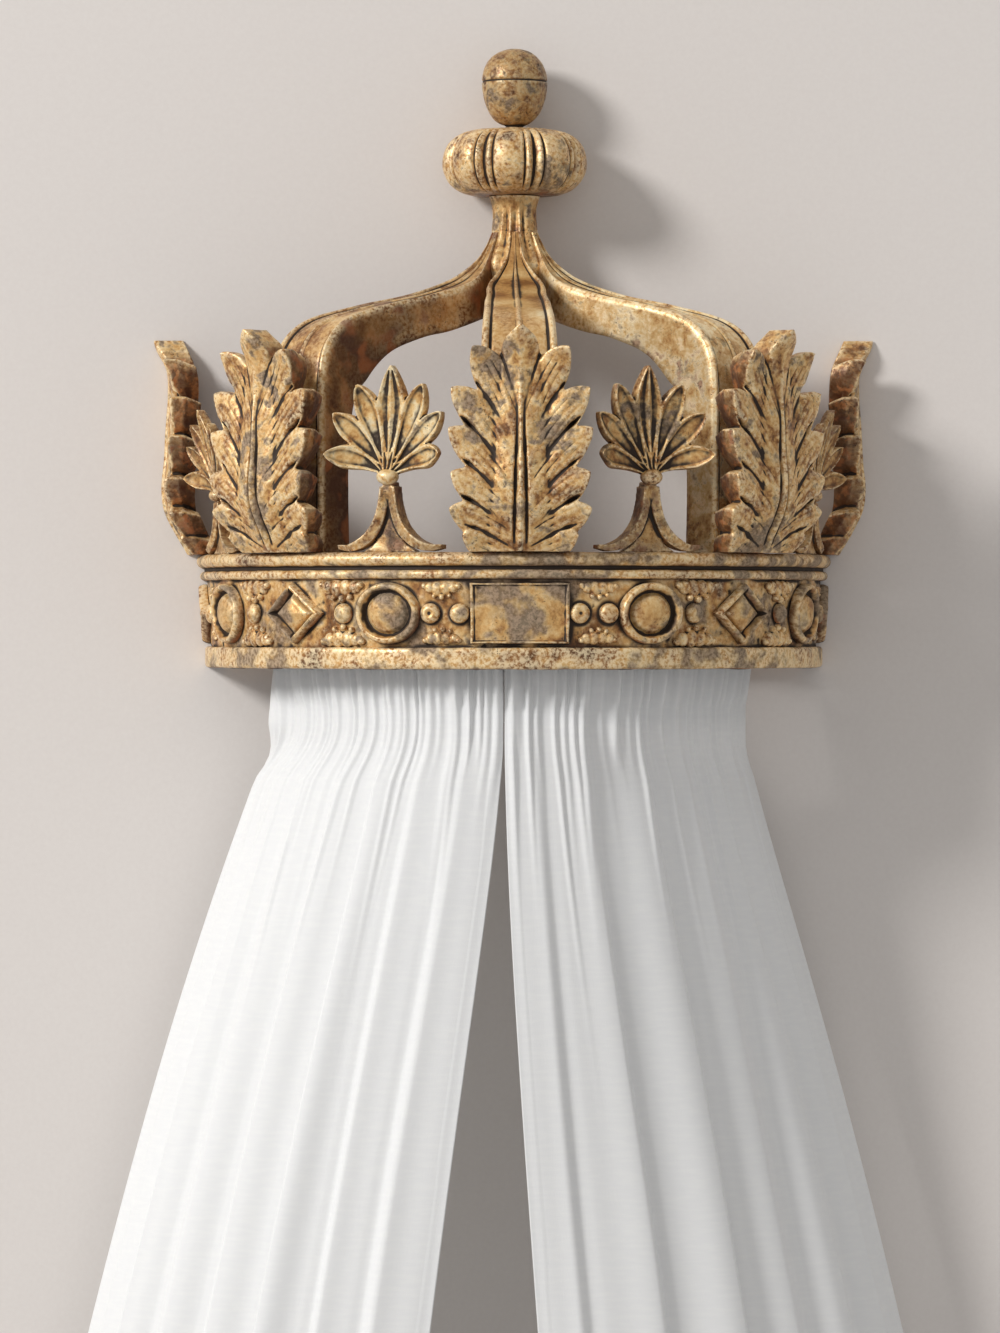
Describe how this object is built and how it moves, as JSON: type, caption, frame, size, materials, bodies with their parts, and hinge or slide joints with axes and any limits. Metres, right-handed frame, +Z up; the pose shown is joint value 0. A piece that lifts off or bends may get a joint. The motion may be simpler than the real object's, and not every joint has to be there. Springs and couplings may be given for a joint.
{
  "type": "bed crown canopy",
  "caption": "Half-round carved gilt bed crown for a wall, with acanthus leaves, palmettes, ribs and a ball finial, and two sheer panels gathered on a rod under its band.",
  "frame": {"origin": "on the wall plane behind the middle of the band's height, at the middle of the back rail", "axes": "+Z up, the front of the crown faces -Y and its flat back faces +Y against the wall, +X to the right as seen from the front"},
  "size_m": [1.1643, 0.311, 2.6453],
  "materials": {
    "carved_gilt": "carved wood with worn gold leaf over red-brown and umber",
    "rail_wood": "plain stained wood",
    "steel": "zinc plated",
    "rod_steel": "satin bronze paint",
    "sheer_cloth": "translucent off-white slub voile"
  },
  "bodies": {
    "root": {"hoop": "carved_gilt", "cap_moulding": "carved_gilt", "foot_moulding": "carved_gilt", "tablet": "carved_gilt", "oval_1": "carved_gilt", "oval_2": "carved_gilt", "oval_3": "carved_gilt", "oval_4": "carved_gilt", "lozenge_1": "carved_gilt", "lozenge_2": "carved_gilt", "half_lozenge_left": "carved_gilt", "half_lozenge_right": "carved_gilt", "pearl_1": "carved_gilt", "pearl_2": "carved_gilt", "pearl_3": "carved_gilt", "pearl_4": "carved_gilt", "pearl_5": "carved_gilt", "pearl_6": "carved_gilt", "pearl_7": "carved_gilt", "pearl_8": "carved_gilt", "pearl_9": "carved_gilt", "pearl_10": "carved_gilt", "leaf_left": "carved_gilt", "leaf_front": "carved_gilt", "leaf_right": "carved_gilt", "half_leaf_left": "carved_gilt", "half_leaf_right": "carved_gilt", "palmette_outer_left": "carved_gilt", "palmette_stem_outer_left": "carved_gilt", "palmette_left": "carved_gilt", "palmette_stem_left": "carved_gilt", "palmette_right": "carved_gilt", "palmette_stem_right": "carved_gilt", "palmette_outer_right": "carved_gilt", "palmette_stem_outer_right": "carved_gilt", "neck": "carved_gilt", "knop": "carved_gilt", "ball_finial": "carved_gilt", "rib_left": "carved_gilt", "rib_front": "carved_gilt", "rib_right": "carved_gilt", "back_rail": "rail_wood", "corner_block_left": "rail_wood", "corner_block_right": "rail_wood", "hanger_plate_left": "steel", "hanger_screw_left_low": "steel", "hanger_screw_left_high": "steel", "rod_socket_left": "rod_steel", "hanger_plate_right": "steel", "hanger_screw_right_low": "steel", "hanger_screw_right_high": "steel", "rod_socket_right": "rod_steel", "curtain_rod": "rod_steel", "panel_left": "sheer_cloth", "panel_right": "sheer_cloth"}
  },
  "joints": []
}
